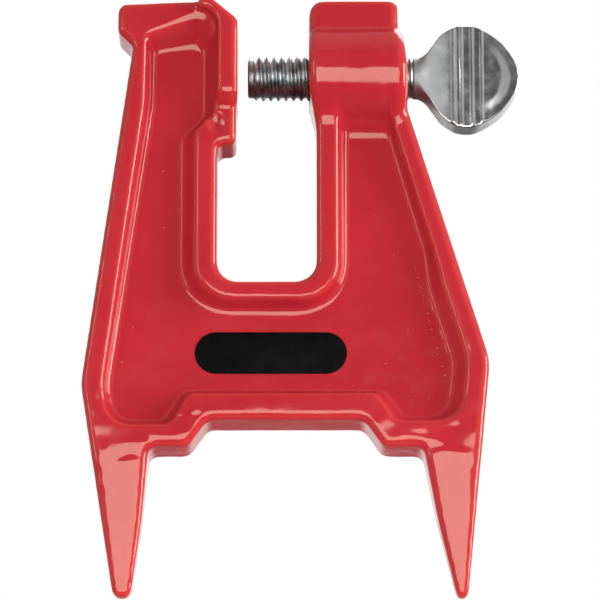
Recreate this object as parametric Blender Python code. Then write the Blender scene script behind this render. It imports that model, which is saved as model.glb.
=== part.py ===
"""Chainsaw filing vise that is driven into a stump: one iron casting and its thumb screw.

The frame: x runs along the thumb screw towards its paddle, z is up and y = 0 is the casting's
parting plane. z = 0 is the pair of shoulders that stop on the stump, and x = 0 lies midway
between the two spike tips. The front of the vise faces -y. The back repeats the front.
"""

import math
from collections import namedtuple

import bmesh
import bpy
from mathutils import Vector

MM = 0.001

# Running gap between two pieces that touch on the real vise
SEAT_GAP = 0.3 * MM
# How far every cutter runs past the face that it opens
OVERRUN = 2.0 * MM
# How far a fillet's foot is sunk under the face that it blends into
BLEND_SINK = 0.12 * MM

# Casting: thickness and edges
BODY_THICKNESS = 12.0 * MM
WEB_THICKNESS = 4.6 * MM
EDGE_RADIUS = 1.25 * MM
TOP_CORNER_RADIUS = 1.8 * MM
TOP_SLOT_RADIUS = 3.2 * MM

# Casting: the two spikes
SPIKE_LENGTH = 30.7 * MM
TIP_SPACING = 69.4 * MM
LEFT_ROOT_WIDTH = 12.3 * MM
LEFT_ROOT_X = -35.5 * MM
LEFT_TIP_WIDTH = 3.6 * MM
RIGHT_ROOT_WIDTH = 12.0 * MM
RIGHT_ROOT_X = 32.8 * MM
RIGHT_TIP_WIDTH = 2.3 * MM
TIP_THICKNESS = 4.2 * MM
TAPER_RISE = 2.5 * MM
TAPER_BLEND = 7.0 * MM
ROOT_FILLET = 1.9 * MM
SPIKE_BELLY = 0.4 * MM
SPIKE_BELLY_RADIUS = 60.0 * MM
SPIKE_EDGE_RUN = 8.0 * MM
# The edge rounding on the spikes, as a share of the body's: at its widest and at the tips
SPIKE_EDGE_SHARE = 1.5
TIP_EDGE_SHARE = 0.6

# Casting: hips, where the arms meet the spikes
LEFT_HIP_X = -43.5 * MM
LEFT_HIP_HEIGHT = 13.2 * MM
RIGHT_HIP_X = 40.75 * MM
RIGHT_HIP_HEIGHT = 18.2 * MM
HIP_RADIUS = 11.0 * MM

# Casting: the shoulders and the arch between them
LEFT_SHOULDER_END = -21.2 * MM
RIGHT_SHOULDER_END = 18.6 * MM
ARCH_HEIGHT = 5.6 * MM
ARCH_SLOPE_RUN = 3.9 * MM
ARCH_FILLET = 2.4 * MM

# Casting: the slot for the guide bar
SLOT_LEFT_X = -15.6 * MM
SLOT_WIDTH = 20.6 * MM
SLOT_FLOOR_HEIGHT = 35.15 * MM
SLOT_CORNER_RADIUS = 4.3 * MM

# Casting: hammer pads, the lug and the left arm's top
PAD_HEIGHT = 96.6 * MM
LEFT_PAD_DROP = 0.8 * MM
LUG_X = -36.7 * MM
LUG_DEPTH = 6.1 * MM
LUG_REACH = 3.2 * MM
LUG_CORNER_RADIUS = 1.4 * MM
LUG_TOP_RADIUS = 2.1 * MM

# Fixed jaw, at the slot's left side
JAW_REACH = 4.15 * MM
JAW_SET_BACK = 0.25 * MM
JAW_FOOT_DROP = 31.8 * MM
JAW_FOOT_RADIUS = 1.5 * MM
JAW_THICKNESS = 16.6 * MM
JAW_WIDTH = 4.3 * MM
JAW_CREST_WIDTH = 2.9 * MM
JAW_CHAMFER_WIDTH = 5.6 * MM
JAW_CHAMFER_DROP = 4.8 * MM
JAW_PAD_DROP = 23.7 * MM
JAW_CREST_DROP = 2.4 * MM
JAW_INNER_CUT = 2.3 * MM
JAW_EDGE_RADIUS = 0.9 * MM
JAW_CORNER_RADIUS = 1.4 * MM

# Threaded boss that carries the screw, at the slot's right side
SCREW_DROP = 15.75 * MM
BOSS_REACH = 1.5 * MM
BOSS_LENGTH = 20.7 * MM
BOSS_RADIUS = 11.0 * MM
BOSS_EDGE_RADIUS = 1.7 * MM
BOSS_END_RADIUS = 2.0 * MM
# The boss's right end face is fullest below the axis, and bows back towards its top
BOSS_END_BOW = 1.8 * MM
BOSS_FULL_DROP = 4.0 * MM
BOSS_TOP_FILLET = 1.6 * MM
BOSS_RIM_FILLET = 8.5 * MM
BOSS_WEB_FILLET = 5.5 * MM
BOSS_FOOT_DROP = 11.7 * MM
BOSS_BLEND_RUN = 7.0 * MM
BOSS_BLEND_RADIUS = 3.0 * MM
BLOCK_WIDTH = 18.7 * MM
ARM_TOP_DROP = 2.0 * MM
BORE_CLEARANCE = 0.3 * MM
BORE_CHAMFER = 0.5 * MM

# Recess on each side: the width of the rim that is left standing round it
LEFT_RIM_TOP = 2.2 * MM
LEFT_RIM_ARM = 4.0 * MM
LEFT_RIM_FOOT = 4.3 * MM
LEFT_RIM_ARM_DROP = 22.6 * MM
RIGHT_RIM = 3.9 * MM
SLOT_LEFT_RIM = 3.85 * MM
SLOT_RIGHT_RIM = 4.2 * MM
SLOT_FLOOR_RIM = 3.65 * MM
LEFT_FOOT_RIM = 4.1 * MM
RIGHT_FOOT_RIM = 4.9 * MM
ARCH_RIM = 5.2 * MM
TOP_RIM = 0.8 * MM
TOP_RIM_LEFT = 6.8 * MM
JAW_RIM_DROP = 25.1 * MM
JAW_RIM_STEP = 3.2 * MM
BOSS_RIM_DROP = 8.85 * MM
LEFT_STEP_SHIFT = 3.3 * MM
LEFT_ARCH_SHIFT = 3.8 * MM
RIGHT_STEP_SHIFT = 2.4 * MM
RIGHT_ARCH_SHIFT = 2.5 * MM
RIGHT_STEP_TOP = 41.0 * MM
RIGHT_STEP_FOOT = 35.5 * MM

# Recess walls: how far they run in from the rim before they meet the web
NARROW_RUN = 1.2 * MM
STEP_RUN = 1.6 * MM
WALL_RUN = 2.0 * MM
JAW_WALL_RUN = 2.8 * MM
BROAD_RUN = 3.9 * MM
TOP_WALL_RUN = 8.9 * MM
TOP_WEB_DROP = 0.7 * MM

# Recess corners, in plan
SMALL_CORNER = 1.6 * MM
STEP_CORNER = 2.6 * MM
TOP_CORNER = 4.0 * MM
TOP_WEB_CORNER = 2.8 * MM
FOOT_CORNER = 5.9 * MM
FOOT_WEB_CORNER = 4.6 * MM
SLOT_RIM_CORNER = 7.1 * MM
SLOT_WEB_CORNER = 10.5 * MM
HIP_CORNER = 9.0 * MM

# Clamp screw
THREAD_DIAMETER = 9.3 * MM
TIP_GAP = 2.1 * MM
TIP_CHAMFER_LENGTH = 1.0 * MM
TIP_CHAMFER_DEPTH = 0.55 * MM
SPIGOT_DIAMETER = 5.0 * MM
SPIGOT_LENGTH = 4.5 * MM

# Thumb paddle: its places along x are shares of its length, its widths shares of its width
NECK_GAP = 1.2 * MM
NECK_DIAMETER = 8.7 * MM
PADDLE_LENGTH = 22.1 * MM
PADDLE_WIDTH = 22.6 * MM
PADDLE_DROP = 0.25 * MM
PADDLE_THICKNESS = 5.5 * MM
PADDLE_EDGE_RADIUS = 1.1 * MM
FLARE_START_SHARE = 0.05
FLARE_END_SHARE = 0.40
PADDLE_OUTLINE_SHARES = (
    (0.118, 0.458),
    (0.163, 0.566),
    (0.258, 0.779),
    (0.353, 0.918),
    (0.416, 0.975),
    (0.507, 1.00),
    (0.579, 0.98),
    (0.661, 0.91),
    (0.756, 0.80),
    (0.851, 0.645),
    (0.923, 0.46),
    (0.966, 0.313),
    (0.99, 0.166),
    (1.00, 0.00),
)
RIDGE_PLACE_SHARES = (0.367, 0.452, 0.548, 0.643)
RIDGE_WIDTH = 1.3 * MM
RIDGE_HEIGHT = 0.5 * MM
RIDGE_MARGIN = 0.6 * MM

# Facets: the angle that one facet turns on an outline, and the counts of steps
ARC_STEP = math.radians(12)
EDGE_STEPS = 4
WALL_STEPS = 6
BOSS_STEPS = 18
TAPER_STEPS = 6
PADDLE_STEPS = 3
SECTION_STEPS = 5
ROUND_SEGMENTS = 40
RIDGE_STEPS = 6

# Sizes that follow from the ones above
HALF_BODY = BODY_THICKNESS / 2
HALF_WEB = WEB_THICKNESS / 2
SCREW_HEIGHT = PAD_HEIGHT - SCREW_DROP
JAW_FOOT_HEIGHT = PAD_HEIGHT - JAW_FOOT_DROP
JAW_PAD_FOOT = PAD_HEIGHT - JAW_PAD_DROP
JAW_RIM_FOOT = PAD_HEIGHT - JAW_RIM_DROP
LEFT_RIM_ARM_HEIGHT = PAD_HEIGHT - LEFT_RIM_ARM_DROP
BOSS_RIM_TOP = SCREW_HEIGHT - BOSS_RIM_DROP
SLOT_RIGHT_X = SLOT_LEFT_X + SLOT_WIDTH
JAW_FACE_X = SLOT_LEFT_X + JAW_REACH
BOSS_LEFT_X = SLOT_RIGHT_X - BOSS_REACH
BOSS_RIGHT_X = BOSS_LEFT_X + BOSS_LENGTH
BLOCK_RIGHT_X = BOSS_LEFT_X + BLOCK_WIDTH
TIP_X = JAW_FACE_X + TIP_GAP
NECK_X = BOSS_RIGHT_X + NECK_GAP

Corner = namedtuple("Corner", "x z radius")


def line_x(start, end, height):
    """Gives the x of the straight line through two corners, at a height."""
    share = (height - start.z) / (end.z - start.z)
    return start.x + share * (end.x - start.x)


def corner_turns(corners):
    """Gives the facet count of each rounded corner of an outline, from the angle it turns."""
    counts = []
    for index, corner in enumerate(corners):
        before = corners[index - 1]
        after = corners[(index + 1) % len(corners)]
        inward = Vector((before.x - corner.x, before.z - corner.z))
        outward = Vector((after.x - corner.x, after.z - corner.z))
        counts.append(max(1, math.ceil((math.pi - inward.angle(outward)) / ARC_STEP)))
    return counts


def arc_points(before, corner, after, steps):
    """Gives the points of one rounded corner. Its fillet stays within half of each edge."""
    point = Vector((corner.x, corner.z))
    inward = Vector((before.x, before.z)) - point
    outward = Vector((after.x, after.z)) - point
    turn = math.pi - inward.angle(outward)
    room = min(inward.length, outward.length) * 0.49
    reach = min(corner.radius * math.tan(turn / 2), room)
    radius = reach / math.tan(turn / 2)
    inward.normalize()
    outward.normalize()
    centre = point + (inward + outward).normalized() * (radius / math.cos(turn / 2))
    start = point + inward * reach - centre
    end = point + outward * reach - centre
    side = math.copysign(1, start.x * end.y - start.y * end.x)
    points = []
    for step in range(steps + 1):
        angle = side * turn * step / steps
        cosine, sine = math.cos(angle), math.sin(angle)
        turn_x = start.x * cosine - start.y * sine
        turn_z = start.x * sine + start.y * cosine
        points.append(centre + Vector((turn_x, turn_z)))
    return points


def rounded_outline(corners, counts):
    """Gives the points of a closed outline whose corners are all rounded."""
    points = []
    for index, corner in enumerate(corners):
        before = corners[index - 1]
        after = corners[(index + 1) % len(corners)]
        points.extend(arc_points(before, corner, after, counts[index]))
    return points


def inward_normals(points):
    """Gives the direction into an anticlockwise outline at each of its points."""
    normals = []
    for index, point in enumerate(points):
        arriving = (point - points[index - 1]).normalized()
        leaving = (points[(index + 1) % len(points)] - point).normalized()
        along = (arriving + leaving).normalized()
        normals.append(Vector((-along.y, along.x)))
    return normals


def edge_profile(radius, steps):
    """Gives the (inset, drop) pairs of a quarter-round edge, from the flank to the face."""
    pairs = []
    for step in range(steps + 1):
        angle = math.pi / 2 * step / steps
        pairs.append((radius * (1 - math.cos(angle)), radius * (1 - math.sin(angle))))
    return pairs


def both_ends(low, high, radius):
    """Gives the (inset, place) pairs of a solid with quarter-round edges at both its ends."""
    profile = edge_profile(radius, EDGE_STEPS)
    pairs = [(inset, low + drop) for inset, drop in reversed(profile)]
    return pairs + [(inset, high - drop) for inset, drop in profile]


def loft(rings):
    """Bridges closed rings of points, caps both ends and gives the mesh as a bmesh."""
    mesh = bmesh.new()
    loops = [[mesh.verts.new(point) for point in ring] for ring in rings]
    count = len(loops[0])
    for lower, upper in zip(loops, loops[1:]):
        for index in range(count):
            following = (index + 1) % count
            mesh.faces.new((lower[index], lower[following], upper[following], upper[index]))
    mesh.faces.new(list(reversed(loops[0])))
    mesh.faces.new(loops[-1])
    bmesh.ops.recalc_face_normals(mesh, faces=mesh.faces[:])
    return mesh


def circle(x, radius, height):
    """Gives a ring of points round the x axis direction, at a height."""
    points = []
    for segment in range(ROUND_SEGMENTS):
        angle = 2 * math.pi * segment / ROUND_SEGMENTS
        points.append(Vector((x, radius * math.sin(angle), height + radius * math.cos(angle))))
    return points


def turned(stations, height):
    """Lofts a turned piece from its (x, radius) stations, about an axis along x."""
    return loft([circle(x, radius, height) for x, radius in stations])


def make_object(name, shape):
    """Turns a bmesh into an object with that name, in the scene."""
    mesh = bpy.data.meshes.new(name)
    shape.to_mesh(mesh)
    shape.free()
    piece = bpy.data.objects.new(name, mesh)
    bpy.context.scene.collection.objects.link(piece)
    return piece


def combine(piece, name, shape, operation):
    """Unites a shape with a piece or cuts it out, by a Boolean and a hidden tool object."""
    tool = make_object(name, shape)
    tool.hide_render = True
    tool.display_type = "WIRE"
    tool.parent = piece
    modifier = piece.modifiers.new(name, "BOOLEAN")
    modifier.operation = operation
    modifier.solver = "EXACT"
    modifier.object = tool


def finish(piece, colour, roughness, metallic, sharp_angle):
    """Shades a piece smooth, apart from its sharp edges, and gives it a Principled material."""
    piece.data.shade_smooth()
    piece.data.set_sharp_from_angle(angle=sharp_angle)
    material = bpy.data.materials.new(piece.name)
    material.use_nodes = True
    shader = material.node_tree.nodes["Principled BSDF"]
    shader.inputs["Base Color"].default_value = (*colour, 1)
    shader.inputs["Roughness"].default_value = roughness
    shader.inputs["Metallic"].default_value = metallic
    piece.data.materials.append(material)


def body_corners():
    """Gives the casting's outline by name, anticlockwise from the left spike's tip."""
    left_tip_x = -TIP_SPACING / 2
    right_tip_x = TIP_SPACING / 2
    left_tip = LEFT_TIP_WIDTH / 2
    right_tip = RIGHT_TIP_WIDTH / 2
    jaw_x = JAW_FACE_X - JAW_SET_BACK
    jaw_crest = PAD_HEIGHT - BLEND_SINK
    chamfer_x = jaw_x - JAW_CHAMFER_WIDTH
    left_pad = PAD_HEIGHT - LEFT_PAD_DROP
    lug_foot = left_pad - LUG_DEPTH
    boss_foot = SCREW_HEIGHT - BOSS_FOOT_DROP
    arch_left = LEFT_SHOULDER_END + ARCH_SLOPE_RUN
    arch_right = RIGHT_SHOULDER_END - ARCH_SLOPE_RUN
    left_root_x = LEFT_ROOT_X + LEFT_ROOT_WIDTH / 2
    right_root_x = RIGHT_ROOT_X - RIGHT_ROOT_WIDTH / 2
    middle = -SPIKE_LENGTH / 2
    belly_left = (left_root_x + left_tip_x + left_tip) / 2 + SPIKE_BELLY
    belly_right = (right_root_x + right_tip_x - right_tip) / 2 - SPIKE_BELLY
    return {
        "left_tip_outer": Corner(left_tip_x - left_tip, -SPIKE_LENGTH, left_tip),
        "left_tip_inner": Corner(left_tip_x + left_tip, -SPIKE_LENGTH, left_tip),
        "left_belly": Corner(belly_left, middle, SPIKE_BELLY_RADIUS),
        "left_root": Corner(left_root_x, 0, ROOT_FILLET),
        "left_shoulder": Corner(LEFT_SHOULDER_END, 0, ARCH_FILLET),
        "arch_left": Corner(arch_left, ARCH_HEIGHT, ARCH_FILLET),
        "arch_right": Corner(arch_right, ARCH_HEIGHT, ARCH_FILLET),
        "right_shoulder": Corner(RIGHT_SHOULDER_END, 0, ARCH_FILLET),
        "right_root": Corner(right_root_x, 0, ROOT_FILLET),
        "right_belly": Corner(belly_right, middle, SPIKE_BELLY_RADIUS),
        "right_tip_inner": Corner(right_tip_x - right_tip, -SPIKE_LENGTH, right_tip),
        "right_tip_outer": Corner(right_tip_x + right_tip, -SPIKE_LENGTH, right_tip),
        "right_hip": Corner(RIGHT_HIP_X, RIGHT_HIP_HEIGHT, HIP_RADIUS),
        "right_arm_top": Corner(BLOCK_RIGHT_X, SCREW_HEIGHT - ARM_TOP_DROP, BOSS_BLEND_RADIUS),
        "block_right": Corner(BLOCK_RIGHT_X, PAD_HEIGHT, TOP_CORNER_RADIUS),
        "block_left": Corner(BOSS_LEFT_X, PAD_HEIGHT, TOP_SLOT_RADIUS),
        "boss_blend": Corner(BOSS_LEFT_X, boss_foot + BOSS_BLEND_RUN, BOSS_BLEND_RADIUS),
        "slot_right_top": Corner(SLOT_RIGHT_X, boss_foot, BOSS_BLEND_RADIUS),
        "slot_right": Corner(SLOT_RIGHT_X, SLOT_FLOOR_HEIGHT, SLOT_CORNER_RADIUS),
        "slot_left": Corner(SLOT_LEFT_X, SLOT_FLOOR_HEIGHT, SLOT_CORNER_RADIUS),
        "slot_left_top": Corner(SLOT_LEFT_X, JAW_FOOT_HEIGHT, JAW_FOOT_RADIUS),
        "jaw_foot": Corner(jaw_x, JAW_FOOT_HEIGHT, JAW_FOOT_RADIUS),
        "jaw_top": Corner(jaw_x, PAD_HEIGHT - JAW_CHAMFER_DROP, JAW_CORNER_RADIUS),
        "jaw_chamfer": Corner(chamfer_x, jaw_crest, JAW_CORNER_RADIUS),
        "pad_crest": Corner(chamfer_x - JAW_CREST_WIDTH, jaw_crest, JAW_CORNER_RADIUS),
        "left_pad": Corner(LUG_X, left_pad, LUG_TOP_RADIUS),
        "lug_foot": Corner(LUG_X, lug_foot, LUG_CORNER_RADIUS),
        "left_arm_top": Corner(LUG_X + LUG_REACH, lug_foot - LUG_REACH, LUG_CORNER_RADIUS),
        "left_hip": Corner(LEFT_HIP_X, LEFT_HIP_HEIGHT, HIP_RADIUS),
    }


def split_at(points, height):
    """Adds a point to a closed outline wherever it crosses a height."""
    result = []
    for index, point in enumerate(points):
        before = points[index - 1]
        if (before.y - height) * (point.y - height) < 0:
            result.append(before.lerp(point, (height - before.y) / (point.y - before.y)))
        result.append(point)
    return result


def edge_share(drop):
    """Gives the share of the body's edge rounding that a spike has, by its drop below z = 0."""
    if drop < SPIKE_EDGE_RUN:
        return 1 + (SPIKE_EDGE_SHARE - 1) * max(0, drop) / SPIKE_EDGE_RUN
    run = (drop - SPIKE_EDGE_RUN) / (SPIKE_LENGTH - SPIKE_EDGE_RUN)
    return SPIKE_EDGE_SHARE + (TIP_EDGE_SHARE - SPIKE_EDGE_SHARE) * run


def tapered_drop(height):
    """Gives how far a height lies down the spikes' taper, which starts gradually."""
    drop = max(0, TAPER_RISE - height)
    if drop < TAPER_BLEND:
        return drop * drop / (2 * TAPER_BLEND)
    return drop - TAPER_BLEND / 2


def make_blank():
    """Makes the casting's full-thickness body, with its spikes drawn down to thin tips."""
    corners = list(body_corners().values())
    points = split_at(rounded_outline(corners, corner_turns(corners)), -SPIKE_EDGE_RUN)
    normals = inward_normals(points)
    rings = []
    for inset, depth in both_ends(-HALF_BODY, HALF_BODY, EDGE_RADIUS):
        ring = []
        for point, normal in zip(points, normals):
            place = point + normal * (inset * edge_share(-point.y))
            ring.append(Vector((place.x, depth, place.y)))
        rings.append(ring)
    mesh = loft(rings)
    everything = mesh.verts[:] + mesh.edges[:] + mesh.faces[:]
    for step in range(TAPER_STEPS + 1):
        level = (0, 0, TAPER_RISE - TAPER_BLEND * step / TAPER_STEPS)
        bmesh.ops.bisect_plane(mesh, geom=everything, plane_co=level, plane_no=(0, 0, 1))
        everything = mesh.verts[:] + mesh.edges[:] + mesh.faces[:]
    thinning = (1 - TIP_THICKNESS / BODY_THICKNESS) / tapered_drop(-SPIKE_LENGTH)
    for vertex in mesh.verts:
        vertex.co.y *= 1 - thinning * tapered_drop(vertex.co.z)
    return make_object("cast_frame", mesh)


def recess_corners():
    """Gives the corners of a recess, as one outline at the rim and one at the web."""
    body = body_corners()
    left = (body["left_arm_top"], body["left_hip"])
    left_foot = (body["left_hip"], body["left_tip_outer"])
    right = (body["right_arm_top"], body["right_hip"])
    right_foot = (body["right_hip"], body["right_tip_outer"])
    top_left = PAD_HEIGHT - LEFT_PAD_DROP - TOP_RIM_LEFT
    top_right = PAD_HEIGHT - TOP_RIM
    low_web = top_right - TOP_WALL_RUN - TOP_WEB_DROP
    jaw_x = JAW_FACE_X - JAW_WIDTH
    rim_x = SLOT_LEFT_X - SLOT_LEFT_RIM
    floor = SLOT_FLOOR_HEIGHT - SLOT_FLOOR_RIM
    slot_x = SLOT_RIGHT_X + SLOT_RIGHT_RIM
    arch = ARCH_HEIGHT + ARCH_RIM
    foot_left = LEFT_SHOULDER_END - LEFT_STEP_SHIFT
    arch_left = body["arch_left"].x - LEFT_ARCH_SHIFT
    arch_right = body["arch_right"].x + RIGHT_ARCH_SHIFT
    foot_right = RIGHT_SHOULDER_END + RIGHT_STEP_SHIFT
    low, low_right = LEFT_FOOT_RIM, RIGHT_FOOT_RIM
    top_left_x = line_x(*left, top_left) + LEFT_RIM_TOP
    arm_x = line_x(*left, LEFT_RIM_ARM_HEIGHT) + LEFT_RIM_ARM
    foot_left_x = line_x(*left_foot, low) + LEFT_RIM_FOOT
    foot_right_x = line_x(*right_foot, low_right) - RIGHT_RIM
    hip_right_x = RIGHT_HIP_X - RIGHT_RIM
    step_top_x = line_x(*right, RIGHT_STEP_TOP) - RIGHT_RIM
    step_foot_x = line_x(*right, RIGHT_STEP_FOOT) - RIGHT_RIM
    boss_x = line_x(*right, BOSS_RIM_TOP) - RIGHT_RIM
    thin, step, wall, wide = NARROW_RUN, STEP_RUN, WALL_RUN, BROAD_RUN
    small, bend, hip, foot = SMALL_CORNER, STEP_CORNER, HIP_CORNER, FOOT_CORNER
    rows = (
        (top_left_x, top_left, small, wall, low_web - top_left, small),
        (arm_x, LEFT_RIM_ARM_HEIGHT, hip, wall, 0, hip),
        (LEFT_HIP_X + LEFT_RIM_FOOT, LEFT_HIP_HEIGHT, hip, thin, 0, hip),
        (foot_left_x, low, foot, thin, wall, FOOT_WEB_CORNER),
        (foot_left, low, bend, -wall, wall, bend),
        (arch_left, arch, bend, -thin, step, bend),
        (arch_right, arch, bend, step, step, bend),
        (foot_right, low_right, bend, step, wall, bend),
        (foot_right_x, low_right, foot, -wide, wall, FOOT_WEB_CORNER),
        (hip_right_x, RIGHT_HIP_HEIGHT, hip, -wide, 0, hip),
        (step_foot_x, RIGHT_STEP_FOOT, hip, -wide, 0, hip),
        (step_top_x, RIGHT_STEP_TOP, hip, -wall, 0, hip),
        (boss_x, BOSS_RIM_TOP, small, -thin, 0, small),
        (slot_x, BOSS_RIM_TOP, small, wall, 0, small),
        (slot_x, floor, SLOT_RIM_CORNER, wall, -wall, SLOT_WEB_CORNER),
        (rim_x, floor, SLOT_RIM_CORNER, -wide, -wall, SLOT_WEB_CORNER),
        (rim_x, JAW_RIM_FOOT - JAW_RIM_STEP, bend, -wide, -wall, bend),
        (jaw_x, JAW_RIM_FOOT, bend, -JAW_WALL_RUN, 0, bend),
        (jaw_x, top_right, TOP_CORNER, -JAW_WALL_RUN, -TOP_WALL_RUN, TOP_WEB_CORNER),
    )
    rim = [Corner(x, z, radius) for x, z, radius, _, _, _ in rows]
    web = [Corner(x + run_x, z + run_z, radius) for x, z, _, run_x, run_z, radius in rows]
    return rim, web


def recess_shape(side):
    """Makes the shape of one recess, with walls that curve from the rim to the web.

    The side is -1 for the front and 1 for the back.
    """
    rim, web = recess_corners()
    counts = corner_turns(rim)
    rim_points = rounded_outline(rim, counts)
    web_points = rounded_outline(web, counts)
    rings = [[Vector((p.x, side * (HALF_BODY + OVERRUN), p.y)) for p in rim_points]]
    for step in range(WALL_STEPS + 1):
        share = step / WALL_STEPS
        level = HALF_BODY - (HALF_BODY - HALF_WEB) * share * share * (3 - 2 * share)
        places = [a.lerp(b, share) for a, b in zip(rim_points, web_points)]
        rings.append([Vector((p.x, side * level, p.y)) for p in places])
    return loft(rings)


def blend_points(radius, face, fillet):
    """Gives the fillet between a round barrel and a flat face, as (y, z), and its contact angle."""
    reach = math.sqrt((radius + fillet) ** 2 - (face + fillet) ** 2)
    contact = math.atan2(reach, face + fillet)
    points = []
    for step in range(EDGE_STEPS + 1):
        angle = contact * step / EDGE_STEPS
        y = face + fillet - fillet * math.cos(angle)
        points.append((y, reach - fillet * math.sin(angle)))
    return points, contact


def boss_section(radius, foot_face, foot_fillet, open_top=False):
    """Gives a section of the boss about its axis, blended into the block and the face below.

    With an open top it stays round there, as it has no block above it.
    """
    top_face = HALF_BODY - BLEND_SINK - (BOSS_RADIUS - radius)
    low_face = foot_face - BLEND_SINK - (BOSS_RADIUS - radius)
    top, top_contact = blend_points(radius, top_face, BOSS_TOP_FILLET)
    foot, foot_contact = blend_points(radius, low_face, foot_fillet)
    if open_top:
        top = []
        for step in range(EDGE_STEPS + 1):
            share = (EDGE_STEPS + 1 - step) / (EDGE_STEPS + 2)
            angle = top_contact + (math.pi / 2 - top_contact) * share
            top.append((radius * math.cos(angle), radius * math.sin(angle)))
    sweep = top_contact + foot_contact
    front = list(top)
    for step in range(1, BOSS_STEPS):
        angle = top_contact - sweep * step / BOSS_STEPS
        front.append((radius * math.cos(angle), radius * math.sin(angle)))
    front += [(y, -z) for y, z in reversed(foot)]
    return front + [(-y, z) for y, z in reversed(front)]


def boss_shape():
    """Makes the boss along x. Its foot follows the rims and, between them, the web."""
    left_x = BOSS_LEFT_X - BLEND_SINK
    slot_rim_x = SLOT_RIGHT_X + SLOT_RIGHT_RIM
    body = body_corners()
    arm = (body["right_arm_top"], body["right_hip"])
    right_rim_x = line_x(*arm, BOSS_RIM_TOP) - RIGHT_RIM
    web_start = slot_rim_x + WALL_RUN
    web_end = right_rim_x - NARROW_RUN
    blend_foot = SCREW_HEIGHT - BOSS_FOOT_DROP
    blend_top = blend_foot + BOSS_BLEND_RUN
    rim = (HALF_BODY, BOSS_RIM_FILLET)
    web = (HALF_WEB, BOSS_WEB_FILLET)
    stations = []
    for inset, drop in reversed(edge_profile(BOSS_EDGE_RADIUS, EDGE_STEPS)):
        stations.append((left_x + drop, boss_section(BOSS_RADIUS - inset, *rim)))
    stations.append((slot_rim_x, boss_section(BOSS_RADIUS, *rim)))
    stations.append((web_start, boss_section(BOSS_RADIUS, *web)))
    stations.append((web_end, boss_section(BOSS_RADIUS, *web)))
    stations.append((right_rim_x, boss_section(BOSS_RADIUS, *rim)))
    for inset, drop in edge_profile(BOSS_END_RADIUS, EDGE_STEPS):
        stations.append((BOSS_RIGHT_X - drop, boss_section(BOSS_RADIUS - inset, *rim, open_top=True)))
    rings = []
    for x, section in stations:
        nearness = max(0, slot_rim_x - x) / (slot_rim_x - left_x)
        beyond = min(1, max(0, (x - web_start) / (web_end - web_start)))
        bowed = max(0, x - right_rim_x) / (BOSS_RIGHT_X - right_rim_x)
        ring = []
        for y, z in section:
            height = SCREW_HEIGHT + z
            share = min(1, max(0, (blend_top - height) / BOSS_BLEND_RUN))
            slant = line_x(*arm, min(height, BOSS_RIM_TOP)) - line_x(*arm, BOSS_RIM_TOP)
            bow = BOSS_END_BOW * ((z + BOSS_FULL_DROP) / (BOSS_RADIUS + BOSS_FULL_DROP)) ** 2
            shift = BOSS_REACH * share * nearness + slant * beyond - bow * bowed
            ring.append(Vector((x + shift, y, height)))
        rings.append(ring)
    return loft(rings)


def jaw_pad_shape():
    """Makes the fixed jaw's pad, thicker than the rim behind it, with a sloping foot."""
    half = JAW_THICKNESS / 2
    jaw_x = JAW_FACE_X - JAW_WIDTH
    chamfer_x = JAW_FACE_X - JAW_CHAMFER_WIDTH
    crest_x = chamfer_x - JAW_CREST_WIDTH
    crest_foot = PAD_HEIGHT - JAW_CREST_DROP
    corners = (
        Corner(jaw_x, JAW_PAD_FOOT, JAW_CORNER_RADIUS),
        Corner(JAW_FACE_X, JAW_PAD_FOOT, JAW_CORNER_RADIUS),
        Corner(JAW_FACE_X, PAD_HEIGHT - JAW_CHAMFER_DROP, JAW_CORNER_RADIUS),
        Corner(chamfer_x, PAD_HEIGHT, JAW_CORNER_RADIUS),
        Corner(crest_x, PAD_HEIGHT, JAW_CORNER_RADIUS),
        Corner(crest_x, crest_foot, JAW_CORNER_RADIUS),
        Corner(jaw_x - JAW_INNER_CUT, crest_foot, TOP_CORNER),
        Corner(jaw_x, crest_foot - JAW_INNER_CUT, TOP_CORNER),
    )
    points = rounded_outline(corners, corner_turns(corners))
    normals = inward_normals(points)
    flat = HALF_BODY - BLEND_SINK
    levels = both_ends(-half, half, JAW_EDGE_RADIUS)
    middle = len(levels) // 2
    levels[middle:middle] = [(0, -flat), (0, flat)]
    slope_top = JAW_PAD_FOOT + (half - flat)
    rings = []
    for inset, depth in levels:
        ring = []
        for point, normal in zip(points, normals):
            place = point + normal * inset
            if point.y < slope_top:
                place.y += max(0, abs(depth) - flat)
            ring.append(Vector((place.x, depth, place.y)))
        rings.append(ring)
    return loft(rings)


def bore_shape():
    """Makes the boss's bore, with a chamfer at each mouth."""
    radius = THREAD_DIAMETER / 2 + BORE_CLEARANCE
    mouth = radius + BORE_CHAMFER
    left_x = BOSS_LEFT_X - BLEND_SINK
    stations = (
        (left_x - OVERRUN, mouth),
        (left_x, mouth),
        (left_x + BORE_CHAMFER, radius),
        (BOSS_RIGHT_X - BORE_CHAMFER, radius),
        (BOSS_RIGHT_X, mouth),
        (BOSS_RIGHT_X + OVERRUN, mouth),
    )
    return turned(stations, SCREW_HEIGHT)


def make_cast_frame():
    """Makes the one-piece casting: arms, spikes, recessed web, fixed jaw and boss."""
    frame = make_blank()
    combine(frame, "recess_front", recess_shape(-1), "DIFFERENCE")
    combine(frame, "recess_back", recess_shape(1), "DIFFERENCE")
    combine(frame, "boss", boss_shape(), "UNION")
    combine(frame, "jaw_pad", jaw_pad_shape(), "UNION")
    combine(frame, "bore", bore_shape(), "DIFFERENCE")
    finish(frame, (0.58, 0.02, 0.025), 0.18, 0.0, math.radians(50))
    return frame


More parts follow.
